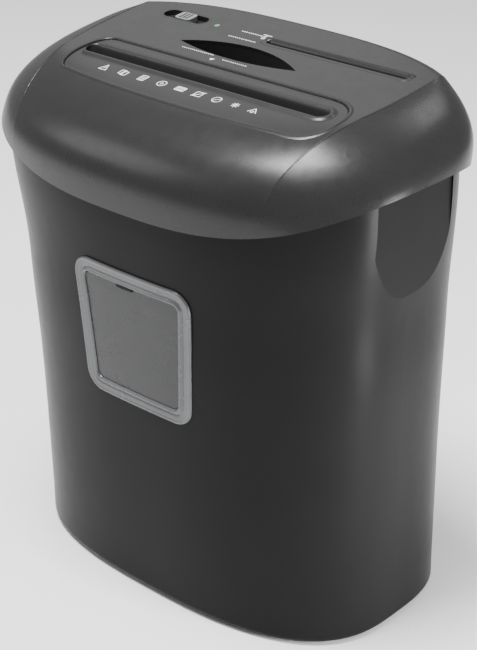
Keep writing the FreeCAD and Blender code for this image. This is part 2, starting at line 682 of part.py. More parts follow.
def make_comb(y, front):
    """Stripper comb: a back bar with a finger in each gap between the cutters of one shaft."""
    side = -1 if front else 1
    xs = cutter_xs(not front)
    if not front:
        xs = xs[1:-1]
    bar_y = sorted((y + side * (CUTTER_R + 0.4), y + side * (CUTTER_R + 1.7)))
    bar = box(PLATE_LEFT, PLATE_RIGHT, bar_y[0], bar_y[1], SHAFT_Z - 14.0, SHAFT_Z + 14.0)
    finger_y = sorted((y + side * 4.0, y + side * (CUTTER_R + 1.6)))
    fingers = [box(x - 1.5, x + 1.5, finger_y[0], finger_y[1], SHAFT_Z - 18.5, SHAFT_Z + 18.5) for x in xs]
    hub = rod_x(y, SHAFT_Z, SPACER_R + 0.7, -120.0, 130.0)
    return union([bar] + [finger.cut(hub) for finger in fingers])


def make_paper_guides():
    thick = 1.6
    z0, z1 = SHAFT_Z + 21.0, top_z(SLOT_Y) - 5.2
    x0, x1 = PLATE_LEFT + 0.5, -PLATE_LEFT - 0.5
    guides = []
    for side in (-1, 1):
        top = SLOT_Y + side * (SLOT_OPEN / 2 + 0.4)
        low = SLOT_Y + side * THROAT / 2
        points = [V(x0, low, z0), V(x0, low + side * thick, z0), V(x0, top + side * thick, z1), V(x0, top, z1)]
        guides.append(prism(points, V(x1 - x0, 0, 0)))
    guides[1] = guides[1].cut(box(-5.0, 5.0, SLOT_Y, SLOT_Y + 20.0, LEVER_Z - 13.0, LEVER_Z + 4.0))
    return guides


# --- disc cutter -----------------------------------------------------------------------------
def disc_cutter_xs(front):
    first = DISC_X0 + 6.0
    shift = 0.0 if front else 4.0
    return [first + shift + 8.0 * i for i in range(DISC_CUTTERS)]


def make_disc_cutter(y, front):
    xs = disc_cutter_xs(front)
    blades = [cutter_disc(y, SHAFT_Z, x, DISC_CUTTER_T, DISC_CUTTER_R - 0.8, DISC_CUTTER_R, 8, 0.3)
              for x in xs]
    core = rod_x(y, SHAFT_Z, DISC_SPACER_R, DISC_PLATE_X + PLATE_T + 0.5, PLATE_RIGHT - 0.5)
    right_reach = SYNC_X1 + 1.5 if front else PLATE_RIGHT + PLATE_T + 1.5
    shaft = rod_x(y, SHAFT_Z, DISC_JOURNAL_R, PAIR_X0 - 1.0, right_reach)
    solid_core = core.cut(rod_x(y, SHAFT_Z, DISC_JOURNAL_R, -130, 140))
    bladed = [blade.cut(rod_x(y, SHAFT_Z, DISC_SPACER_R, -130, 140)) for blade in blades]
    return shaft, union([solid_core] + bladed)


def make_disc_guides():
    half = DISC_SLOT / 2
    thick = 1.6
    guides = []
    for side in (-1, 1):
        y0, y1 = sorted((DISC_Y + side * half, DISC_Y + side * (half + thick)))
        guides.append(under_top(box(DISC_X0 - 2.0, PLATE_RIGHT - 0.4, y0, y1, SHAFT_Z + 16.0, TOP_Z + 15.0)))
    return guides


def under_top(shape):
    """Trim an upright piece so that it ends just under the trim in the sloping top."""
    limit = tilted(box(-150.0, 150.0, -120.0, 120.0, 300.0, TOP_Z - 6.1))
    return shape.common(limit)


# --- gears -----------------------------------------------------------------------------------
def gear(y, z, module, teeth, x0, x1, phase):
    """Straight-flanked spur gear about the X direction; phase points at the middle of a tooth."""
    pitch_r = module * teeth / 2
    half_pitch = (math.pi / 2 - BACKLASH * 2) / teeth
    profile = ((pitch_r - DEDENDUM * module, 1.0 + 0.46),
               (pitch_r, 1.0),
               (pitch_r + ADDENDUM * module, 1.0 - 0.46))
    outline = []
    for i in range(teeth):
        centre = phase + 2 * math.pi * i / teeth
        for radius, share in profile:
            turn = centre - half_pitch * share
            outline.append(V(x0, y + radius * math.cos(turn), z + radius * math.sin(turn)))
        for radius, share in reversed(profile):
            turn = centre + half_pitch * share
            outline.append(V(x0, y + radius * math.cos(turn), z + radius * math.sin(turn)))
    return prism(outline, V(x1 - x0, 0, 0))


def meshed_phase(from_yz, to_yz, phase, teeth, next_teeth):
    """Phase of the next gear so that its gap meets the first gear's tooth on the line of centres."""
    line = math.atan2(to_yz[1] - from_yz[1], to_yz[0] - from_yz[0])
    offset = (line - phase) * teeth / (2 * math.pi)
    return line + math.pi + (offset + 0.5) * 2 * math.pi / next_teeth


FRONT_YZ = (FRONT_Y, SHAFT_Z)
REAR_YZ = (REAR_Y, SHAFT_Z)
DISC_FRONT_YZ = (DISC_Y - DISC_SHAFT_GAP / 2, SHAFT_Z)
DISC_REAR_YZ = (DISC_Y + DISC_SHAFT_GAP / 2, SHAFT_Z)
MOTOR_YZ = (MOTOR_Y, MOTOR_Z)


def between(first, second, first_reach, second_reach, side):
    """Point at the given distances from two others; side +1 is to the left of first to second."""
    dy, dz = second[0] - first[0], second[1] - first[1]
    span = math.hypot(dy, dz)
    along = (first_reach ** 2 - second_reach ** 2 + span ** 2) / (2 * span)
    aside = side * math.sqrt(first_reach ** 2 - along ** 2)
    uy, uz = dy / span, dz / span
    return (first[0] + along * uy - aside * uz, first[1] + along * uz + aside * uy)


def centres(module, teeth, next_teeth):
    return module * (teeth + next_teeth) / 2


TWO_REACH = centres(FINAL_MODULE, FINAL_TEETH, TWO_SMALL_TEETH)
TWO_YZ = (REAR_Y + TWO_REACH * math.cos(math.radians(TWO_ANGLE)),
          SHAFT_Z + TWO_REACH * math.sin(math.radians(TWO_ANGLE)))
ONE_YZ = between(MOTOR_YZ, TWO_YZ, centres(ONE_MODULE, ONE_BIG_TEETH, PINION_TEETH),
                 centres(TWO_MODULE, TWO_BIG_TEETH, ONE_SMALL_TEETH), 1)
TRANSFER_YZ = between(REAR_YZ, DISC_FRONT_YZ, centres(SYNC_MODULE, SYNC_TEETH, TRANSFER_TEETH),
                      centres(SYNC_MODULE, TRANSFER_TEETH, DISC_TEETH), 1)


def make_gears():
    """Every gear of the train, in mesh at rest, by name."""
    sync_front = 0.0
    sync_rear = meshed_phase(FRONT_YZ, REAR_YZ, sync_front, SYNC_TEETH, SYNC_TEETH)
    transfer = meshed_phase(REAR_YZ, TRANSFER_YZ, sync_rear, SYNC_TEETH, TRANSFER_TEETH)
    disc_front = meshed_phase(TRANSFER_YZ, DISC_FRONT_YZ, transfer, TRANSFER_TEETH, DISC_TEETH)
    pair_front = 0.0
    pair_rear = meshed_phase(DISC_FRONT_YZ, DISC_REAR_YZ, pair_front, PAIR_TEETH, PAIR_TEETH)
    final = 0.0
    two_small = meshed_phase(REAR_YZ, TWO_YZ, final, FINAL_TEETH, TWO_SMALL_TEETH)
    two_big = 0.0
    one_small = meshed_phase(TWO_YZ, ONE_YZ, two_big, TWO_BIG_TEETH, ONE_SMALL_TEETH)
    one_big = 0.0
    pinion = meshed_phase(ONE_YZ, MOTOR_YZ, one_big, ONE_BIG_TEETH, PINION_TEETH)
    m = SYNC_MODULE
    return {
        "sync_gear_front": gear(*FRONT_YZ, m, SYNC_TEETH, SYNC_X0, SYNC_X1, sync_front),
        "sync_gear_rear": gear(*REAR_YZ, m, SYNC_TEETH, SYNC_X0, SYNC_X1, sync_rear),
        "transfer_gear": gear(*TRANSFER_YZ, m, TRANSFER_TEETH, SYNC_X0, SYNC_X1, transfer),
        "disc_gear_front": gear(*DISC_FRONT_YZ, m, DISC_TEETH, SYNC_X0, SYNC_X1, disc_front),
        "disc_pair_gear_front": gear(*DISC_FRONT_YZ, PAIR_MODULE, PAIR_TEETH, PAIR_X0, PAIR_X1, pair_front),
        "disc_pair_gear_rear": gear(*DISC_REAR_YZ, PAIR_MODULE, PAIR_TEETH, PAIR_X0, PAIR_X1, pair_rear),
        "final_gear": gear(*REAR_YZ, FINAL_MODULE, FINAL_TEETH, *LAYER_C, final),
        "two_small": gear(*TWO_YZ, FINAL_MODULE, TWO_SMALL_TEETH, *LAYER_C, two_small),
        "two_big": gear(*TWO_YZ, TWO_MODULE, TWO_BIG_TEETH, *LAYER_B, two_big),
        "one_small": gear(*ONE_YZ, TWO_MODULE, ONE_SMALL_TEETH, *LAYER_B, one_small),
        "one_big": gear(*ONE_YZ, ONE_MODULE, ONE_BIG_TEETH, *LAYER_A, one_big),
        "pinion": gear(*MOTOR_YZ, ONE_MODULE, PINION_TEETH, *LAYER_A, pinion),
    }


def make_studs():
    """Fixed studs that gear one, gear two and the transfer gear turn on."""
    studs = []
    for (y, z), far in ((ONE_YZ, LAYER_B[0]), (TWO_YZ, LAYER_C[0])):
        collar_end = LAYER_A[1] if far == LAYER_B[0] else LAYER_B[1]
        studs.append(union([rod_x(y, z, STUD_R - RUN_CLEAR, far - 0.8, PLATE_LEFT),
                            rod_x(y, z, 3.4, collar_end + 0.2, PLATE_LEFT - PLATE_T)]))
    y, z = TRANSFER_YZ
    studs.append(union([rod_x(y, z, STUD_R - RUN_CLEAR, PLATE_RIGHT, SYNC_X1 + 1.0),
                        rod_x(y, z, 3.4, PLATE_RIGHT + PLATE_T, SYNC_X0 - 0.2)]))
    return studs


# --- motor -----------------------------------------------------------------------------------
def make_motor():
    y, z = MOTOR_YZ
    shell = rod_x(y, z, MOTOR_R, MOTOR_X0, MOTOR_X1).cut(rod_x(y, z, MOTOR_R - 3.0, MOTOR_X0 + 3, MOTOR_X1 - 3))
    snout = rod_x(y, z, 6.9, PLATE_LEFT - PLATE_T + 0.3, MOTOR_X0)
    body = shell.fuse(snout).removeSplitter().cut(rod_x(y, z, 2.5 + RUN_CLEAR, -130.0, 0.0))
    core = rod_x(y, z, 17.0, MOTOR_X0 + 14, MOTOR_X1 - 26)
    commutator = rod_x(y, z, 9.0, MOTOR_X1 - 22, MOTOR_X1 - 8)
    shaft = rod_x(y, z, 2.5, LAYER_A[0] - 1.0, MOTOR_X1 + 12.0)
    return body, union([shaft, core, commutator])


def make_fan():
    y, z = MOTOR_YZ
    x0 = MOTOR_X1 + 2.0
    hub = rod_x(y, z, 6.0, x0, x0 + 7.5)
    blades = []
    for i in range(7):
        blade = box(x0 + 0.5, x0 + 6.5, y + 5.0, y + 21.0, z - 0.8, z + 0.8)
        blade.rotate(V(x0, y, z), X_AXIS, 360.0 * i / 7)
        blades.append(blade)
    return union([hub] + blades).cut(rod_x(y, z, 2.5, -60.0, 0.0))


def make_motor_strap():
    y, z = MOTOR_YZ
    x0, x1 = -88.0, -76.0
    ring = rod_x(y, z, MOTOR_R + 1.4, x0, x1).cut(rod_x(y, z, MOTOR_R, x0 - 1, x1 + 1))
    upper = ring.common(box(x0, x1, y - 40, y + 40, z - 8.0, z + 40))
    legs = []
    for side in (-1, 1):
        mid = y + side * (MOTOR_R + 0.7)
        legs.append(box(x0, x1, mid - 0.7, mid + 0.7, FLOOR_Z + FLOOR_T, z - 8.0))
    return union([upper] + legs)


# --- sensors and board -----------------------------------------------------------------------
def make_sensor():
    """Lever that the paper pushes down, and the switch that it works."""
    arm = box(-2.0, 2.0, SLOT_Y - 1.5, LEVER_Y, LEVER_Z - 1.2, LEVER_Z + 1.2)
    hub = rod_x(LEVER_Y, LEVER_Z, 3.4, -3.0, 3.0)
    tail = box(-2.0, 2.0, LEVER_Y, LEVER_Y + 9.0, LEVER_Z - 1.2, LEVER_Z + 1.2)
    lever = union([arm, hub, tail]).cut(rod_x(LEVER_Y, LEVER_Z, 1.5 + RUN_CLEAR, -9, 9))
    body = box(-9.0, 9.0, LEVER_Y - 4.6, LEVER_Y + 12.0, LEVER_Z + 7.0, LEVER_Z + 12.6)
    cheeks = [box(x - 1.0, x + 1.0, LEVER_Y - 4.0, LEVER_Y + 4.0, LEVER_Z - 4.0, LEVER_Z + 7.0)
              for x in (-4.6, 4.6)]
    pin = rod_x(LEVER_Y, LEVER_Z, 1.5, -5.6, 5.6)
    return lever, union([body] + cheeks + [pin])


def board_corners():
    return [(BOARD_X0 + 3.0, BOARD_Y0 + 3.0), (BOARD_X1 - 3.0, BOARD_Y1 - 3.0)]


def make_board():
    board = box(BOARD_X0, BOARD_X1, BOARD_Y0, BOARD_Y1, BOARD_Z, BOARD_Z + BOARD_T)
    top = BOARD_Z + BOARD_T
    pieces = [box(-102.0, -87.0, 31.0, 49.0, top, top + 9.0),
              rod_z(-81.0, 38.0, 4.0, top, top + 8.5),
              rod_z(-81.0, 49.0, 3.0, top, top + 7.0),
              box(-107.0, -101.0, 62.0, 76.0, top, top + 7.0),
              box(-106.0, -102.0, 52.0, 54.0, top, top + 1.6),
              box(-106.0, -102.0, 56.0, 58.0, top, top + 1.6),
              box(-96.0, -88.0, 56.0, 61.0, top, top + 1.2)]
    return board, group(pieces)


def make_thermal_cutout():
    y, z = MOTOR_YZ
    return box(-68.0, -52.0, y - 4.0, y + 4.0, z + MOTOR_R - 0.2, z + MOTOR_R + 3.0).cut(
        rod_x(y, z, MOTOR_R, -120.0, -20.0))


# --- assembly --------------------------------------------------------------------------------
def make_parts():
    parts = {"bin": make_bin(), "feet": make_feet()}
    parts["window_frame"], parts["window_pane"] = make_window()
    parts["head_cover"] = make_head_cover()
    parts["head_base"] = make_head_base()
    parts["slot_pad"] = make_slot_pad()
    parts["handle_cup"] = make_handle_cup()
    parts["disc_slot_trim"] = make_disc_trim()
    parts["switch_bezel"] = make_switch_bezel()
    parts["switch_button"] = make_switch_button()
    parts["switch_body"] = make_switch_body()
    parts["indicator_lens"] = make_indicator()
    parts["cord_inlet"] = make_inlet()
    parts["cover_screws"] = make_cover_screws()
    parts["interlock_plunger"], parts["interlock_switch"] = make_interlock()

    studs = make_studs()
    plates = make_plates()
    for index in (0, 1):
        for stud in studs:
            plates[index] = plates[index].cut(stud)
    parts["bearing_plate_left"], parts["bearing_plate_right"], parts["disc_plate"] = plates
    parts["gear_studs"] = group(studs)
    parts["tie_rods"] = make_tie_rods()
    parts["frame_screws"] = make_frame_screws()
    parts["shaft_bushes"] = group(cutter_bushes())
    parts["stripper_comb_front"] = make_comb(FRONT_Y, True)
    parts["stripper_comb_rear"] = make_comb(REAR_Y, False)
    parts["paper_guide_front"], parts["paper_guide_rear"] = make_paper_guides()
    parts["disc_guide_front"], parts["disc_guide_rear"] = make_disc_guides()

    front = make_cutter_set(FRONT_Y, True, PLATE_LEFT - PLATE_T - 1.8)
    rear = make_cutter_set(REAR_Y, False, LAYER_C[0] - 1.0)
    parts["cutter_shaft_front"], parts["cutter_discs_front"], parts["spacers_front"] = front
    parts["cutter_shaft_rear"], parts["cutter_discs_rear"], parts["spacers_rear"] = rear
    parts["disc_shaft_front"], parts["disc_blades_front"] = make_disc_cutter(DISC_FRONT_YZ[0], True)
    parts["disc_shaft_rear"], parts["disc_blades_rear"] = make_disc_cutter(DISC_REAR_YZ[0], False)

    gears = make_gears()
    for name, shaft in (("sync_gear_front", "cutter_shaft_front"), ("sync_gear_rear", "cutter_shaft_rear"),
                        ("final_gear", "cutter_shaft_rear"), ("disc_gear_front", "disc_shaft_front"),
                        ("disc_pair_gear_front", "disc_shaft_front"),
                        ("disc_pair_gear_rear", "disc_shaft_rear")):
        parts[name] = gears[name].cut(parts[shaft])
    bore = STUD_R
    parts["transfer_gear"] = gears["transfer_gear"].cut(rod_x(*TRANSFER_YZ, bore, 120.0, 140.0))
    joined = rod_x(*TWO_YZ, 6.0, LAYER_C[1], LAYER_B[0])
    two = union([gears["two_small"], joined, gears["two_big"]])
    parts["gear_two"] = two.cut(rod_x(*TWO_YZ, bore, -140.0, -100.0))
    joined = rod_x(*ONE_YZ, 3.7, LAYER_B[1], LAYER_A[0])
    one = union([gears["one_small"], joined, gears["one_big"]])
    parts["gear_one"] = one.cut(rod_x(*ONE_YZ, bore, -140.0, -100.0))

    parts["motor_body"], rotor = make_motor()
    parts["motor_pinion"] = gears["pinion"].cut(rotor)
    parts["motor_rotor"] = rotor
    parts["motor_fan"] = make_fan()
    parts["motor_strap"] = make_motor_strap()
    parts["thermal_cutout"] = make_thermal_cutout()
    parts["sensor_lever"], parts["sensor_switch"] = make_sensor()
    parts["circuit_board"], parts["board_components"] = make_board()
    return parts


os.makedirs("parts", exist_ok=True)
for name, shape in make_parts().items():
    shape.exportStep("parts/" + name + ".step")
    print(name, len(shape.Solids), round(shape.Volume / 1000.0, 2), shape.isValid())
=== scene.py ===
import bpy
import bmesh
import math
from mathutils import Matrix, Vector


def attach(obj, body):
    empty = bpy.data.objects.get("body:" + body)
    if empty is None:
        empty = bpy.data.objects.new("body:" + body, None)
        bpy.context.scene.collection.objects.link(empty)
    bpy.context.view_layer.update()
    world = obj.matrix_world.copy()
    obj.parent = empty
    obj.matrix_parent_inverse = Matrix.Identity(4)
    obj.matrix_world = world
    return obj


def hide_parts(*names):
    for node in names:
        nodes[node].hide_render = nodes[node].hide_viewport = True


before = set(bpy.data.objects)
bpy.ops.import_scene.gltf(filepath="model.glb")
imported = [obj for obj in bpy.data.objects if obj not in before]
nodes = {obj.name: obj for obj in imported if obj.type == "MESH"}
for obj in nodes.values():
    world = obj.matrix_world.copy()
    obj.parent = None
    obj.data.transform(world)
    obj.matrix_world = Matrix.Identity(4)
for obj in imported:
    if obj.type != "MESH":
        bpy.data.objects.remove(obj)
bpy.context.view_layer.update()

MM = 0.001


# --- materials -------------------------------------------------------------------------
# Noise scales are per metre. Drawn out by EVEN, a texture has no direction.
EVEN = (1.0, 1.0, 1.0)
RAMP_START, RAMP_END = 0.3, 0.7
PLASTIC_TONE_SCALE, PLASTIC_GLOSS_SCALE = 38.0, 90.0
PLASTIC_ROUGH_SPREAD, PLASTIC_GRAIN_STRENGTH = 0.02, 0.35
METAL_TONE_SCALE, METAL_GLOSS_SCALE, METAL_GRAIN_SCALE = 220.0, 300.0, 500.0
METAL_DARKEST = 0.86
METAL_SMOOTHER, METAL_ROUGHER = 0.06, 0.08
METAL_GRAIN_STRENGTH, METAL_GRAIN_DEPTH = 0.2, 0.00003
PANE_TONE_SCALE, PANE_GLOSS_SCALE = 26.0, 60.0
PANE_TINT_LOW, PANE_TINT_HIGH = (0.024, 0.0245, 0.0255), (0.03, 0.0305, 0.0315)
PANE_ALPHA, PANE_IOR = 0.9, 1.4
FLOOR_TONE_SCALE, FLOOR_ROUGH = 3.0, 0.7


def new_material(name):
    mat = bpy.data.materials.new(name)
    mat.use_nodes = True
    tree = mat.node_tree
    return mat, tree, tree.nodes["Principled BSDF"]


def texture_coords(tree, scale):
    coords = tree.nodes.new("ShaderNodeTexCoord")
    mapping = tree.nodes.new("ShaderNodeMapping")
    mapping.inputs["Scale"].default_value = scale
    tree.links.new(coords.outputs["Object"], mapping.inputs["Vector"])
    return mapping.outputs["Vector"]


def noise(tree, vector, scale, detail=3.0, roughness=0.55):
    node = tree.nodes.new("ShaderNodeTexNoise")
    node.inputs["Scale"].default_value = scale
    node.inputs["Detail"].default_value = detail
    node.inputs["Roughness"].default_value = roughness
    tree.links.new(vector, node.inputs["Vector"])
    return node.outputs["Fac"]


def ramp(tree, value, low, high):
    """Colour or grey that runs between two values as the input does."""
    node = tree.nodes.new("ShaderNodeValToRGB")
    node.color_ramp.elements[0].position = RAMP_START
    node.color_ramp.elements[1].position = RAMP_END
    node.color_ramp.elements[0].color = (*low, 1.0)
    node.color_ramp.elements[1].color = (*high, 1.0)
    tree.links.new(value, node.inputs["Fac"])
    return node.outputs["Color"]


def bump(tree, shader, value, strength, distance):
    node = tree.nodes.new("ShaderNodeBump")
    node.inputs["Strength"].default_value = strength
    node.inputs["Distance"].default_value = distance
    tree.links.new(value, node.inputs["Height"])
    tree.links.new(node.outputs["Normal"], shader.inputs["Normal"])


def flat_grey(value):
    return (value, value, value)


def grey(value):
    """Grey with a slight blue cast, as black plastic has."""
    return (value, value, value * 1.03)


def plastic(name, colour, rough, grain=900.0, grain_depth=0.00004, spread=0.05, ior=1.49, metallic=0.0):
    """Moulded plastic: a fine spark-eroded grain and slight unevenness of tone and gloss."""
    mat, tree, shader = new_material(name)
    vector = texture_coords(tree, EVEN)
    low = tuple(c * (1.0 - spread) for c in colour)
    high = tuple(c * (1.0 + spread) for c in colour)
    tone = ramp(tree, noise(tree, vector, PLASTIC_TONE_SCALE), low, high)
    tree.links.new(tone, shader.inputs["Base Color"])
    gloss = ramp(tree, noise(tree, vector, PLASTIC_GLOSS_SCALE, detail=4.0),
                 flat_grey(rough - PLASTIC_ROUGH_SPREAD), flat_grey(rough + PLASTIC_ROUGH_SPREAD))
    tree.links.new(gloss, shader.inputs["Roughness"])
    bump(tree, shader, noise(tree, vector, grain, detail=2.0), PLASTIC_GRAIN_STRENGTH, grain_depth)
    shader.inputs["IOR"].default_value = ior
    shader.inputs["Metallic"].default_value = metallic
    return mat


def metal(name, colour, rough, brushed):
    """Bare metal, its tone and gloss drawn out along the axes where brushed is small."""
    mat, tree, shader = new_material(name)
    vector = texture_coords(tree, brushed)
    low = tuple(c * METAL_DARKEST for c in colour)
    tone = ramp(tree, noise(tree, vector, METAL_TONE_SCALE, detail=4.0), low, colour)
    tree.links.new(tone, shader.inputs["Base Color"])
    gloss = ramp(tree, noise(tree, vector, METAL_GLOSS_SCALE),
                 flat_grey(rough - METAL_SMOOTHER), flat_grey(rough + METAL_ROUGHER))
    tree.links.new(gloss, shader.inputs["Roughness"])
    grain = noise(tree, vector, METAL_GRAIN_SCALE, detail=2.0)
    bump(tree, shader, grain, METAL_GRAIN_STRENGTH, METAL_GRAIN_DEPTH)
    shader.inputs["Metallic"].default_value = 1.0
    return mat


def pane_material():
    """Smoke-tinted pane, with faint moulding flow."""
    mat, tree, shader = new_material("smoke_pane")
    vector = texture_coords(tree, EVEN)
    tint = ramp(tree, noise(tree, vector, PANE_TONE_SCALE), PANE_TINT_LOW, PANE_TINT_HIGH)
    tree.links.new(tint, shader.inputs["Base Color"])
    gloss = ramp(tree, noise(tree, vector, PANE_GLOSS_SCALE), flat_grey(0.2), flat_grey(0.3))
    tree.links.new(gloss, shader.inputs["Roughness"])
    shader.inputs["Alpha"].default_value = PANE_ALPHA
    shader.inputs["IOR"].default_value = PANE_IOR
    return mat


BODY = plastic("body_plastic", grey(0.009), 0.31, ior=1.15)
HEAD = plastic("head_plastic", grey(0.015), 0.28, ior=1.4)
PAD = plastic("pad_plastic", grey(0.016), 0.34, ior=1.42)
DARK = plastic("dark_plastic", grey(0.012), 0.5)
SILVER = plastic("silver_lacquer", (0.11, 0.113, 0.116), 0.26, grain_depth=0.00002, ior=1.35, metallic=0.35)
THUMB = plastic("thumb_grey", (0.16, 0.165, 0.17), 0.4)
INNER = plastic("inner_plastic", grey(0.05), 0.5)
NYLON = plastic("filled_nylon", grey(0.035), 0.55)
ACETAL = plastic("natural_acetal", (0.72, 0.70, 0.64), 0.38, spread=0.04)
RUBBER = plastic("soft_rubber", grey(0.02), 0.75, grain=1500.0)
LENS = plastic("green_lens", (0.10, 0.22, 0.12), 0.2)
LAMINATE = plastic("board_laminate", (0.03, 0.14, 0.06), 0.35)
PARTS = plastic("component_bodies", (0.05, 0.05, 0.06), 0.45)
STEEL = metal("ground_steel", (0.56, 0.56, 0.57), 0.3, (1.0, 14.0, 14.0))
PLATE = metal("plated_sheet", (0.5, 0.51, 0.52), 0.42, (1.0, 1.0, 6.0))
SINTERED = metal("sintered_steel", (0.36, 0.36, 0.37), 0.5, (3.0, 3.0, 3.0))
ENAMEL = plastic("motor_enamel", grey(0.07), 0.32)
INK = plastic("white_ink", flat_grey(0.62), 0.5, spread=0.18)

finishes = {
    BODY: ["bin"],
    HEAD: ["head_cover", "disc_slot_trim", "head_base"],
    PAD: ["slot_pad", "switch_bezel"],
    DARK: ["handle_cup"],
    SILVER: ["window_frame"],
    THUMB: ["switch_button"],
    LENS: ["indicator_lens"],
    RUBBER: ["feet", "cord_inlet"],
    INNER: ["stripper_comb_front", "stripper_comb_rear", "paper_guide_front", "paper_guide_rear",
            "disc_guide_front", "disc_guide_rear", "interlock_plunger", "interlock_switch", "switch_body",
            "sensor_switch", "thermal_cutout"],
    NYLON: ["spacers_front", "spacers_rear", "shaft_bushes", "motor_fan"],
    ACETAL: ["sensor_lever", "sync_gear_front", "sync_gear_rear", "disc_gear_front", "disc_pair_gear_front",
             "disc_pair_gear_rear", "transfer_gear", "gear_one", "gear_two"],
    PLATE: ["bearing_plate_left", "bearing_plate_right", "disc_plate", "motor_strap", "cover_screws",
            "frame_screws"],
    STEEL: ["cutter_shaft_front", "cutter_discs_front", "cutter_shaft_rear", "cutter_discs_rear",
            "disc_shaft_front", "disc_blades_front", "disc_shaft_rear", "disc_blades_rear", "tie_rods",
            "gear_studs", "motor_rotor"],
    SINTERED: ["final_gear", "motor_pinion"],
    ENAMEL: ["motor_body"],
    LAMINATE: ["circuit_board"],
    PARTS: ["board_components"],
    pane_material(): ["window_pane"],
}
for finish, names in finishes.items():
    for name in names:
        data = nodes[name].data
        data.materials.clear()
        data.materials.append(finish)

# --- shapes that the finer pieces follow --------------------------------------------------
# Millimetres here, as in the CAD; new_piece turns them into metres.
SLOT_Y = -22.0
TOP_Z, TOP_SLOPE = 378.9, 0.114     # the top at the paper slot, and how it climbs towards the back
RIM_HALF_W, RIM_MID_Y, RIM_FRONT_Y, RIM_BACK_Y = 179.7, -12.0, -107.4, 107.4
RIM_N_FRONT, RIM_N_BACK = 2.49, 2.82
CREST_FOOT = 322.0                  # where the shoulders of the head start
CREST_FRONT_DEPTH, CREST_BACK_DEPTH, CREST_POWER = 70.6, 20.4, 2.21
CREASE_X, CREASE_Y = 136.0, 39.4    # where the creases are furthest apart
CREASE_FRONT, CREASE_FRONT_LENGTH = 4.35, 60.0     # how far each closes in, over a length forwards
CREASE_BACK, CREASE_BACK_LENGTH = 18.2, 115.0      # and backwards
PAD_X0, PAD_X1 = -114.0, 123.0
PAD_BACK_Y, PAD_FRONT_Y = -2.0, -58.0
PAD_FRONT_CURVE, PAD_FRONT_POWER = 9.0, 2.5
PAD_END_LEFT, PAD_END_RIGHT, PAD_END_SQUARENESS = 13.0, 27.0, 2.4
PAD_SUNK = 0.8
SLOT_HALF_W, SLOT_OPEN = 110.0, 11.0
DISC_X0, DISC_X1, DISC_Y, DISC_OPEN = -3.5, 119.5, 49.6, 5.4
BIN_BASE = (157.5, -90.4, 0.2, 2.69)      # half width, front, widest place and squareness at the floor
BIN_TOP = (172.8, -101.9, -12.0, 2.47)    # the same, from BIN_TOP_Z up
BIN_TOP_Z, BIN_FLARE_POWER = 322.0, 2.57
WINDOW_Z0, WINDOW_Z1 = 156.6, 260.9
WINDOW_HALF_TOP, WINDOW_HALF_BOTTOM = 56.25, 50.65
WINDOW_CORNER, WINDOW_CORNER_LEAST = 15.0, 5.0
SETTLE_ROUNDS = 8                   # repeats that settle a point where two curves meet


def clamp(value):
    return min(max(value, 0.0), 1.0)


def signed_power(value, power):
    return math.copysign(abs(value) ** power, value)


def super_reach(x, half_w, reach, power):
    """Distance of a superellipse's outline from its widest line, at x."""
    return reach * (1.0 - (abs(x) / half_w) ** power) ** (1.0 / power)


def front_edge_y(x):
    """Front edge of the head, where its front shoulder starts."""
    return RIM_MID_Y - super_reach(x, RIM_HALF_W, RIM_MID_Y - RIM_FRONT_Y, RIM_N_FRONT)


def front_z(x, y):
    """Height of the head's top at a place between the creases, on the flat or on the front shoulder."""
    curl = clamp((y - front_edge_y(x)) / CREST_FRONT_DEPTH)
    share = (1.0 - (1.0 - curl) ** CREST_POWER) ** (1.0 / CREST_POWER)
    return CREST_FOOT + share * (TOP_Z - CREST_FOOT) + TOP_SLOPE * (y - SLOT_Y) * share


def crease_x(y):
    if y < CREASE_Y:
        return CREASE_X - CREASE_FRONT * ((y - CREASE_Y) / CREASE_FRONT_LENGTH) ** 2
    return CREASE_X - CREASE_BACK * ((y - CREASE_Y) / CREASE_BACK_LENGTH) ** 2


def bin_front(x, z, proud):
    """Front of the bin at a place, or of a skin that stands proud of it."""
    share = (z / BIN_TOP_Z) ** BIN_FLARE_POWER
    half_w, front, mid, power = (a + (b - a) * share for a, b in zip(BIN_BASE, BIN_TOP))
    return mid - super_reach(x, half_w + proud, mid - front + proud, power)


def tilt(x, y, z):
    """Where the CAD puts a point of a shape that is made level at the slot and turned onto the slope."""
    turn = math.atan(TOP_SLOPE)
    dy, dz = y - SLOT_Y, z - TOP_Z
    return (x, SLOT_Y + dy * math.cos(turn) - dz * math.sin(turn),
            TOP_Z + dy * math.sin(turn) + dz * math.cos(turn))


def new_piece(name, points, faces, material, body, smooth=True):
    mesh = bpy.data.meshes.new(name)
    mesh.from_pydata([tuple(c * MM for c in p) for p in points], [], faces)
    mesh.validate()
    mesh.materials.append(material)
    for polygon in mesh.polygons:
        polygon.use_smooth = smooth
    piece = bpy.data.objects.new(name, mesh)
    bpy.context.collection.objects.link(piece)
    work = bmesh.new()
    work.from_mesh(mesh)
    bmesh.ops.recalc_face_normals(work, faces=work.faces)
    work.to_mesh(mesh)
    work.free()
    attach(piece, body)
    return piece


def rings_mesh(rings):
    """Points and faces of a skin that joins closed rings of equal length."""
    count = len(rings[0])
    points = [p for ring in rings for p in ring]
    faces = []
    for r in range(len(rings) - 1):
        for i in range(count):
            j = (i + 1) % count
            faces.append((r * count + i, r * count + j, (r + 1) * count + j, (r + 1) * count + i))
    return points, faces


# --- pad and slots --------------------------------------------------------------------------
LONG_STEPS, END_STEPS = 72, 22
SPREAD_STEPS = 8            # rings between the paper slot's lip and the pad's edge
PAD_FLAT_INSET = 2.4        # where the flat of the pad ends
LEFT_LIP_SHARE = 0.12       # how much of the lip's width is left at the slot's left end

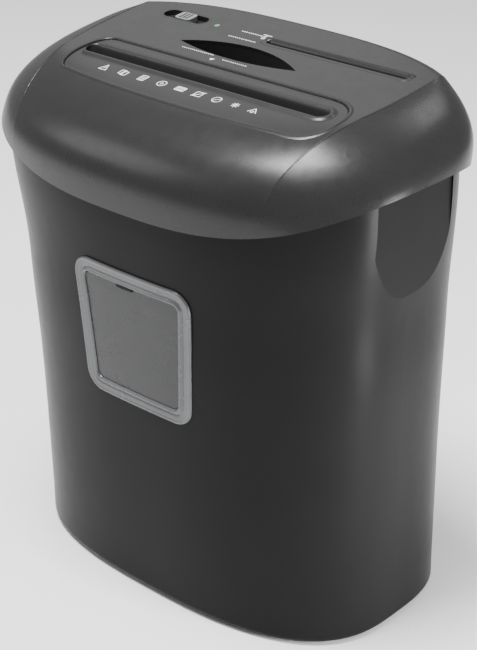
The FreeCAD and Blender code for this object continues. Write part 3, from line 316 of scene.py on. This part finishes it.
# Rings of each skin, from its start to its end. For the lip: how far outside the slot, and how far up.
SLOT_LIP = ((-2.3, -13.0), (-2.2, -11.0), (-1.2, -6.0), (-0.3, -1.6), (0.0, -0.3), (0.4, 0.6),
            (1.0, 1.15), (1.9, 1.4), (2.9, 1.25), (3.8, 0.8), (4.6, 0.3), (5.6, 0.0))
# For the edges of the pad and of the cover: how far inside the pad's outline, and how far up.
PAD_EDGE = ((1.5, 0.0), (0.9, 0.15), (0.5, 0.05), (0.2, -0.6), (0.15, -2.4))
COVER_EDGE = ((0.1, -1.0), (0.0, -0.1), (-0.5, 0.32), (-1.2, 0.45), (-2.0, 0.3), (-2.8, 0.06), (-3.3, -0.1))
# For the disc slot: how far outside it, how far up, and then along its back edge how much further up
# and how far forwards.
DISC_LIP = ((0.0, -6.0, 0.0, 2.5), (0.0, -2.2, 0.0, 2.5), (0.0, -1.2, 0.4, 2.1), (0.0, -0.4, 0.9, 1.0),
            (0.2, -0.05, 1.15, 0.3), (0.8, 0.1, 1.3, 0.0), (1.6, 0.12, 1.25, 0.0), (2.5, 0.1, 0.9, 0.0),
            (3.2, 0.05, 0.45, 0.0), (3.7, 0.02, 0.1, 0.0), (3.9, -0.4, 0.0, 0.0))


def pad_front_y(x):
    mid, half = (PAD_X0 + PAD_X1) / 2, (PAD_X1 - PAD_X0) / 2
    return PAD_FRONT_Y + PAD_FRONT_CURVE * (abs(x - mid) / half) ** PAD_FRONT_POWER


def pad_ring(inset):
    """Outline of the pad, clockwise from its back left, with the same steps as slot_ring."""
    left, right = PAD_X0 + PAD_END_LEFT, PAD_X1 - PAD_END_RIGHT
    power = 2 / PAD_END_SQUARENESS
    points = []
    for i in range(LONG_STEPS):
        points.append((left + (right - left) * i / LONG_STEPS, PAD_BACK_Y - inset))
    for side, x, length in ((1, right, PAD_END_RIGHT), (-1, left, PAD_END_LEFT)):
        front, back = pad_front_y(x) + inset, PAD_BACK_Y - inset
        mid, half = (front + back) / 2, (back - front) / 2
        for i in range(END_STEPS):
            turn = math.pi * (0.5 - i / END_STEPS)
            c, s = math.cos(turn), math.sin(turn) * side
            points.append((x + side * (length - inset) * max(c, 0.0) ** power,
                           mid + half * signed_power(s, power)))
        if side > 0:
            for i in range(LONG_STEPS):
                at = right + (left - right) * i / LONG_STEPS
                points.append((at, pad_front_y(at) + inset))
    return points


def slot_ring(grow, x0=-SLOT_HALF_W, x1=SLOT_HALF_W, y=SLOT_Y, opening=SLOT_OPEN):
    """Outline of a slot, grown all round, with rounded ends."""
    radius = opening / 2 + grow
    mid, reach = (x0 + x1) / 2, (x1 - x0 - opening) / 2
    points = []
    for i in range(LONG_STEPS):
        points.append((mid - reach + 2 * reach * i / LONG_STEPS, y + radius))
    for side in (1, -1):
        for i in range(END_STEPS):
            turn = math.pi * (0.5 - i / END_STEPS)
            points.append((mid + side * (reach + radius * math.cos(turn)),
                           y + side * radius * math.sin(turn)))
        if side > 0:
            for i in range(LONG_STEPS):
                points.append((mid + reach - 2 * reach * i / LONG_STEPS, y - radius))
    return points


def lip_ring(grow):
    """Outline of the paper slot, grown all round, but less at its left end, where the pad ends close by."""
    end = -SLOT_HALF_W + SLOT_OPEN / 2
    grown = max(grow, 0.0)
    squeeze = (SLOT_OPEN / 2 + grown * LEFT_LIP_SHARE) / (SLOT_OPEN / 2 + grown)
    return [(x if x > end else end + (x - end) * squeeze, y) for x, y in slot_ring(grow)]


def on_top(outline, sunk, up):
    """An outline laid on the head's top, sunk as the part there is, and then raised."""
    return [(x, y, front_z(x, y) - sunk + up) for x, y in outline]


def make_pad():
    """Sunken pad with a raised lip round the slot and rounded edges, and the slot's sloping walls."""
    rings = [on_top(lip_ring(grow), PAD_SUNK, up) for grow, up in SLOT_LIP]
    inner, outer = lip_ring(SLOT_LIP[-1][0]), pad_ring(PAD_FLAT_INSET)
    for step in range(1, SPREAD_STEPS + 1):
        t = step / SPREAD_STEPS
        between = [(x0 + (x1 - x0) * t, y0 + (y1 - y0) * t) for (x0, y0), (x1, y1) in zip(inner, outer)]
        rings.append(on_top(between, PAD_SUNK, 0.0))
    rings += [on_top(pad_ring(inset), PAD_SUNK, up) for inset, up in PAD_EDGE]
    points, faces = rings_mesh(rings)
    pad = new_piece("slot_pad_skin", points, faces, PAD, "head")
    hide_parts("slot_pad")


def make_pad_rim():
    """Soft raised edge of the cover all round the pad."""
    points, faces = rings_mesh([on_top(pad_ring(inset), 0.0, up) for inset, up in COVER_EDGE])
    rim = new_piece("pad_rim", points, faces, HEAD, "head")


def make_disc_trim():
    """Trim of the disc slot: flush in front, with a rounded lip that stands up along its back edge."""
    rings = []
    for grow, up, rise, forwards in DISC_LIP:
        ring = []
        for x, y in slot_ring(grow, DISC_X0, DISC_X1, DISC_Y, DISC_OPEN):
            lift = clamp((y - DISC_Y) / (DISC_OPEN / 2))
            ring.append(tilt(x, y - forwards * lift, TOP_Z + up + rise * lift))
        rings.append(ring)
    points, faces = rings_mesh(rings)
    trim = new_piece("disc_slot_lip", points, faces, HEAD, "head")
    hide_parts("disc_slot_trim")


# --- creases of the head ---------------------------------------------------------------------
CREASE_LEVELS = (322.0, 330.0, 338.0, 345.0, 351.0, 356.0, 360.5, 364.5, 368.0, 371.0, 373.5, 375.5,
                 377.0, 378.1)
PANEL_STEPS = 40
PANEL_N_BACK = 2.6              # squareness of the top panel's back corners
PANEL_BACK_INSET = 4.0          # the panel's edge ends this far before the back shoulder's crest
PANEL_MARGIN = 0.1              # the panel is at least this much wider than its ends
BEAD_STEPS = 10                 # points round the bead
BEAD_RADIUS, BEAD_RADIUS_TAPER, BEAD_TIP = 1.2, 0.3, 0.05      # BEAD_TIP: share left at its ends
BEAD_PROUD, BEAD_PROUD_TAPER = 0.3, 0.5
# The bead stands out from a core inside the head: shares of its own x and y, and a height.
BEAD_CORE_X, BEAD_CORE_Y, BEAD_CORE_Z = 0.6, 0.3, 300.0


def head_corner(level):
    """Front crease point of the head's right side at a level of its form."""
    share = clamp((level - CREST_FOOT) / (TOP_Z - CREST_FOOT))
    curl = 1.0 - (1.0 - share ** CREST_POWER) ** (1.0 / CREST_POWER)
    y = RIM_FRONT_Y
    for _ in range(SETTLE_ROUNDS):
        x = crease_x(y)
        y = front_edge_y(x) + CREST_FRONT_DEPTH * curl
    return x, y, level + TOP_SLOPE * (y - SLOT_Y) * share


def panel_edge():
    """Right edge of the top panel, from its front crease to its back one."""
    x_front, y_front, _ = head_corner(TOP_Z)
    y_back = RIM_BACK_Y
    for _ in range(SETTLE_ROUNDS):
        x_back = crease_x(y_back)
        reach = super_reach(x_back, RIM_HALF_W, RIM_BACK_Y - RIM_MID_Y, RIM_N_BACK)
        y_back = RIM_MID_Y + reach - CREST_BACK_DEPTH - PANEL_BACK_INSET
    half_w = max(CREASE_X, x_front + PANEL_MARGIN, x_back + PANEL_MARGIN)
    front_end, back_end = (y_front, x_front, RIM_N_FRONT), (y_back, x_back, PANEL_N_BACK)
    points = []
    for i in range(1, PANEL_STEPS):
        y = y_front + (y_back - y_front) * i / PANEL_STEPS
        y_end, x_end, power = front_end if y < CREASE_Y else back_end
        reach = abs(CREASE_Y - y_end) / super_reach(x_end, half_w, 1.0, power)
        x = super_reach(y - CREASE_Y, reach, half_w, power)
        points.append((x, y, TOP_Z + TOP_SLOPE * (y - SLOT_Y)))
    return points


def make_crease(name, side):
    """Fine rounded bead along the crease between an end cap and the front and top of the head."""
    path = [head_corner(level) for level in CREASE_LEVELS] + panel_edge()
    path = [Vector((side * x, y, z)) for x, y, z in path]
    last = len(path) - 1
    turns = [2 * math.pi * k / BEAD_STEPS for k in range(BEAD_STEPS)]
    rings = []
    for i, at in enumerate(path):
        along = (path[min(i + 1, last)] - path[max(i - 1, 0)]).normalized()
        out = (at - Vector((at.x * BEAD_CORE_X, at.y * BEAD_CORE_Y, BEAD_CORE_Z))).normalized()
        out = (out - along * out.dot(along)).normalized()
        across = along.cross(out)
        share = i / last
        swell = math.sin(math.pi * share)
        radius = BEAD_RADIUS * max(swell ** BEAD_RADIUS_TAPER, BEAD_TIP)
        centre = at - out * (radius - BEAD_PROUD * swell ** BEAD_PROUD_TAPER)
        rings.append([centre + (out * math.cos(t) + across * math.sin(t)) * radius for t in turns])
    points, faces = rings_mesh(rings)
    crease = new_piece(name, points, faces, HEAD, "head")


# --- window frame ------------------------------------------------------------------------------
CORNER_STEPS, SIDE_STEPS, CLIP_STEPS = 12, 16, 28
CLIP_SQUARENESS = 5.0

# How far inside the frame's outline, and how far proud of the bin: a rounded outer lip, a flat band,
# a groove, a bead and the step down to the pane.
FRAME_PROFILE = ((0.15, -0.3), (0.1, 0.5), (0.25, 1.05), (0.6, 1.42), (1.1, 1.58), (1.7, 1.55), (2.3, 1.32),
                 (2.9, 1.12), (3.8, 1.05), (6.0, 1.05), (6.7, 0.75), (7.2, 0.55), (7.7, 0.75), (8.2, 1.25),
                 (8.7, 1.75), (9.3, 2.05), (9.9, 1.95), (10.5, 1.5), (10.9, 0.9), (11.0, 0.1), (11.05, -1.5))
CLIPS = ((-4.5, 248.6, 8.0, 1.3), (43.6, 200.0, 1.3, 7.5))    # x, z and half sizes of each snap clip
CLIP_PROFILE = ((0.0, 0.2), (0.0, 0.7), (-0.35, 1.0))         # how far outside its outline, and how far proud


def window_ring(inset):
    """Rounded trapezoid of the window, smaller all round by inset, as places on the front wall."""
    corner = max(WINDOW_CORNER - inset, WINDOW_CORNER_LEAST)
    top, bottom = WINDOW_HALF_TOP - inset, WINDOW_HALF_BOTTOM - inset
    low, high = WINDOW_Z0 + inset, WINDOW_Z1 - inset
    corners = [Vector(c) for c in ((bottom, low), (top, high), (-top, high), (-bottom, low))]
    arcs = []
    for i, at in enumerate(corners):
        back, ahead = (corners[i - 1] - at).normalized(), (corners[(i + 1) % 4] - at).normalized()
        half = math.acos(back.dot(ahead)) / 2
        centre = at + (back + ahead).normalized() * corner / math.sin(half)
        start = at + back * corner / math.tan(half) - centre
        first, sweep = math.atan2(start.y, start.x), math.pi - 2 * half
        turns = [first + sweep * k / CORNER_STEPS for k in range(CORNER_STEPS + 1)]
        arcs.append([centre + Vector((math.cos(t), math.sin(t))) * corner for t in turns])
    ring = []
    for i, arc in enumerate(arcs):
        ring += [tuple(p) for p in arc]
        start, end = arc[-1], arcs[(i + 1) % 4][0]
        ring += [tuple(start.lerp(end, k / SIDE_STEPS)) for k in range(1, SIDE_STEPS)]
    return ring


def make_window_surround():
    rings = []
    for inset, proud in FRAME_PROFILE:
        rings.append([(x, bin_front(x, z, proud), z) for x, z in window_ring(inset)])
    points, faces = rings_mesh(rings)
    surround = new_piece("window_surround", points, faces, SILVER, "bin")
    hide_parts("window_frame")


def make_window_clips():
    """Small dark snap clips that show at the pane's edge."""
    turns = [2 * math.pi * k / CLIP_STEPS for k in range(CLIP_STEPS)]
    power = 2 / CLIP_SQUARENESS
    unit = [(signed_power(math.cos(t), power), signed_power(math.sin(t), power)) for t in turns]
    points, faces = [], []
    for x, z, half_x, half_z in CLIPS:
        rings = []
        for grow, proud in CLIP_PROFILE:
            outline = [(x + (half_x + grow) * ux, z + (half_z + grow) * uz) for ux, uz in unit]
            rings.append([(px, bin_front(px, pz, proud), pz) for px, pz in outline])
        some, some_faces = rings_mesh(rings)
        start = len(points)
        points += some
        faces += [tuple(start + i for i in face) for face in some_faces]
        faces.append(tuple(range(len(points) - CLIP_STEPS, len(points))))
    clips = new_piece("window_clips", points, faces, BODY, "bin", smooth=False)


# --- printed marks ---------------------------------------------------------------------------
INK_HEIGHT = 0.06


def flat_mark(strokes, place, size, width):
    """Strokes drawn in a small square, scaled, moved to a place and thickened, as points and faces."""
    points, faces = [], []
    cx, cy = place
    for stroke in strokes:
        for (x0, y0), (x1, y1) in zip(stroke, stroke[1:]):
            dx, dy = (x1 - x0) * size, (y1 - y0) * size
            length = math.hypot(dx, dy)
            nx, ny = -dy / length * width / 2, dx / length * width / 2
            ax, ay = cx + x0 * size, cy + y0 * size
            bx, by = cx + x1 * size, cy + y1 * size
            start = len(points)
            points += [(ax - nx, ay - ny), (bx - nx, by - ny), (bx + nx, by + ny), (ax + nx, ay + ny)]
            faces.append((start, start + 1, start + 2, start + 3))
    return points, faces


def circle(cx, cy, radius, steps=14):
    turns = [2 * math.pi * i / steps for i in range(steps + 1)]
    return [(cx + radius * math.cos(t), cy + radius * math.sin(t)) for t in turns]


def rectangle(x0, y0, x1, y1):
    return [(x0, y0), (x1, y0), (x1, y1), (x0, y1), (x0, y0)]


def dashes(count, length):
    """A row of short bars, one to a unit, which stands in for a line of small lettering."""
    return [[(i, 0.0), (i + length, 0.0)] for i in range(count)]


# Generic signs. Each is a list of strokes, and each stroke a list of points.
SYMBOLS = [
    [[(-0.4, -0.4), (0.0, 0.4), (0.4, -0.4), (-0.4, -0.4)], [(0.0, -0.2), (0.0, 0.12)]],
    [rectangle(-0.4, -0.3, 0.05, 0.3), rectangle(-0.1, -0.4, 0.4, 0.2)],
    [rectangle(-0.3, -0.4, 0.3, 0.4), [(-0.2, 0.15), (0.2, 0.15)], [(-0.2, -0.05), (0.2, -0.05)],
     [(-0.2, -0.25), (0.2, -0.25)]],
    [circle(0.0, 0.0, 0.4), circle(0.0, 0.0, 0.12)],
    [rectangle(-0.45, -0.28, 0.45, 0.28), [(-0.45, 0.1), (0.45, 0.1)], [(-0.45, 0.16), (0.45, 0.16)],
     [(-0.35, -0.1), (0.35, -0.1)], [(-0.35, -0.18), (0.35, -0.18)]],
    [rectangle(-0.35, -0.35, 0.35, 0.35), [(-0.45, -0.45), (0.45, 0.45)]],
    [circle(0.0, 0.0, 0.4), [(-0.3, -0.28), (0.3, 0.28)]],
    [[(-0.35, 0.0), (0.35, 0.0)], [(0.0, -0.35), (0.0, 0.35)], [(-0.25, -0.25), (0.25, 0.25)],
     [(-0.25, 0.25), (0.25, -0.25)]],
    [[(-0.4, -0.3), (0.0, 0.3), (0.4, -0.3)], circle(0.0, -0.2, 0.13)],
]
SYMBOL_XS = (-74.0, -55.5, -37.0, -19.0, -1.5, 15.0, 31.5, 48.0, 64.0)
SYMBOL_Y, SYMBOL_SIZE, SYMBOL_LINE = -40.5, 8.6, 0.75
ARROW = [[(-0.5, 0.25), (0.0, -0.35), (0.5, 0.25), (-0.5, 0.25)], [(-0.25, 0.1), (0.25, 0.1)],
         [(-0.12, -0.08), (0.12, -0.08)]]
DISC_MARK = [[(-0.5, 0.4), (0.5, 0.4)], [(0.0, 0.4), (0.0, -0.45)],
             [(-0.2, -0.2), (0.0, -0.45), (0.2, -0.2)]]

# Strokes, place, size and line width.
TOP_MARKS = [
    (dashes(16, 0.55), (-50.0, 11.5), 1.9, 1.0),
    (dashes(12, 0.55), (-9.0, 8.6), 1.9, 1.0),
    (ARROW, (-16.5, 5.6), 3.6, 0.7),
    (dashes(13, 0.6), (-35.0, 43.0), 2.0, 1.15),
    (dashes(11, 0.6), (-32.0, 54.0), 2.0, 1.15),
    (DISC_MARK, (-10.0, 53.5), 8.0, 1.0),
]


def print_marks(name, marks, sunk):
    """One piece of thin printing, on the head's top or on a part that is sunk in it."""
    points, faces = [], []
    for strokes, place, size, width in marks:
        some, some_faces = flat_mark(strokes, place, size, width)
        start = len(points)
        points += on_top(some, sunk, INK_HEIGHT)
        faces += [tuple(start + i for i in face) for face in some_faces]
    piece = new_piece(name, points, faces, INK, "head", smooth=False)


def make_marks():
    symbols = [(sign, (x, SYMBOL_Y), SYMBOL_SIZE, SYMBOL_LINE) for sign, x in zip(SYMBOLS, SYMBOL_XS)]
    print_marks("pad_symbols", symbols, PAD_SUNK)
    print_marks("top_marks", TOP_MARKS, 0.0)


# --- stage, light and camera, in metres -----------------------------------------------------
FLOOR_HALF = 6.0
WORLD_STRENGTH = 0.4

# Name, place, what it faces, width and height, and power in watts.
LIGHTS = (
    ("overhead", (-0.15, -0.4, 2.2), (0.0, -0.1, 0.0), (0.8, 0.8), 110.0),
    ("back_rim", (0.13, 1.05, 1.6), (0.1, 0.0, 0.38), (0.5, 0.2), 2.0),
    ("back_left", (-1.25, 1.1, 1.45), (0.0, 0.0, 0.38), (0.9, 0.9), 2.0),
    ("low_right", (0.62, 0.02, 0.17), (0.1, -0.05, 0.2), (0.12, 0.34), 6.0),
    ("left_front", (-1.5, -1.2, 1.3), (0.0, 0.0, 0.3), (0.8, 0.8), 6.0),
)

CAMERA_PLACE = (0.77866, -0.82939, 0.75434)
CAMERA_RIGHT = (0.72958, 0.68369, -0.01668)
CAMERA_UP = (-0.29051, 0.33191, 0.89747)
CAMERA_BACK = (0.61913, -0.64993, 0.44077)
SENSOR_WIDTH, FOCAL_LENGTH = 36.0, 96.81      # millimetres
SHIFT_X, SHIFT_Y = 0.0347, -0.0187


def make_floor():
    mat, tree, shader = new_material("floor_paint")
    vector = texture_coords(tree, EVEN)
    tone = ramp(tree, noise(tree, vector, FLOOR_TONE_SCALE), flat_grey(0.93), flat_grey(0.95))
    tree.links.new(tone, shader.inputs["Base Color"])
    shader.inputs["Roughness"].default_value = FLOOR_ROUGH
    mesh = bpy.data.meshes.new("floor")
    corners = [(x * FLOOR_HALF, y * FLOOR_HALF, 0.0) for x, y in ((-1, -1), (1, -1), (1, 1), (-1, 1))]
    mesh.from_pydata(corners, [], [(0, 1, 2, 3)])
    floor = bpy.data.objects.new("floor", mesh)
    bpy.context.collection.objects.link(floor)
    mesh.materials.append(mat)


def area_light(name, place, target, size, power):
    data = bpy.data.lights.new(name, "AREA")
    data.shape = "RECTANGLE"
    data.size, data.size_y = size
    data.energy = power
    lamp = bpy.data.objects.new(name, data)
    bpy.context.collection.objects.link(lamp)
    lamp.location = place
    lamp.rotation_euler = (Vector(target) - Vector(place)).to_track_quat("-Z", "Y").to_euler()
    lamp.visible_camera = False


def make_lights():
    world = bpy.data.worlds.new("studio")
    bpy.context.scene.world = world
    world.use_nodes = True
    background = world.node_tree.nodes["Background"]
    background.inputs["Color"].default_value = (1.0, 1.0, 1.0, 1.0)
    background.inputs["Strength"].default_value = WORLD_STRENGTH
    for light in LIGHTS:
        area_light(*light)


def make_camera():
    data = bpy.data.cameras.new("camera")
    data.sensor_width, data.lens = SENSOR_WIDTH, FOCAL_LENGTH
    data.shift_x, data.shift_y = SHIFT_X, SHIFT_Y
    camera = bpy.data.objects.new("camera", data)
    bpy.context.collection.objects.link(camera)
    turn = Matrix((CAMERA_RIGHT, CAMERA_UP, CAMERA_BACK)).transposed().to_4x4()
    camera.matrix_world = Matrix.Translation(CAMERA_PLACE) @ turn
    bpy.context.scene.camera = camera


make_pad()
make_pad_rim()
make_disc_trim()
make_crease("crease_right", 1)
make_crease("crease_left", -1)
make_window_surround()
make_window_clips()
make_marks()
make_floor()
make_lights()
make_camera()
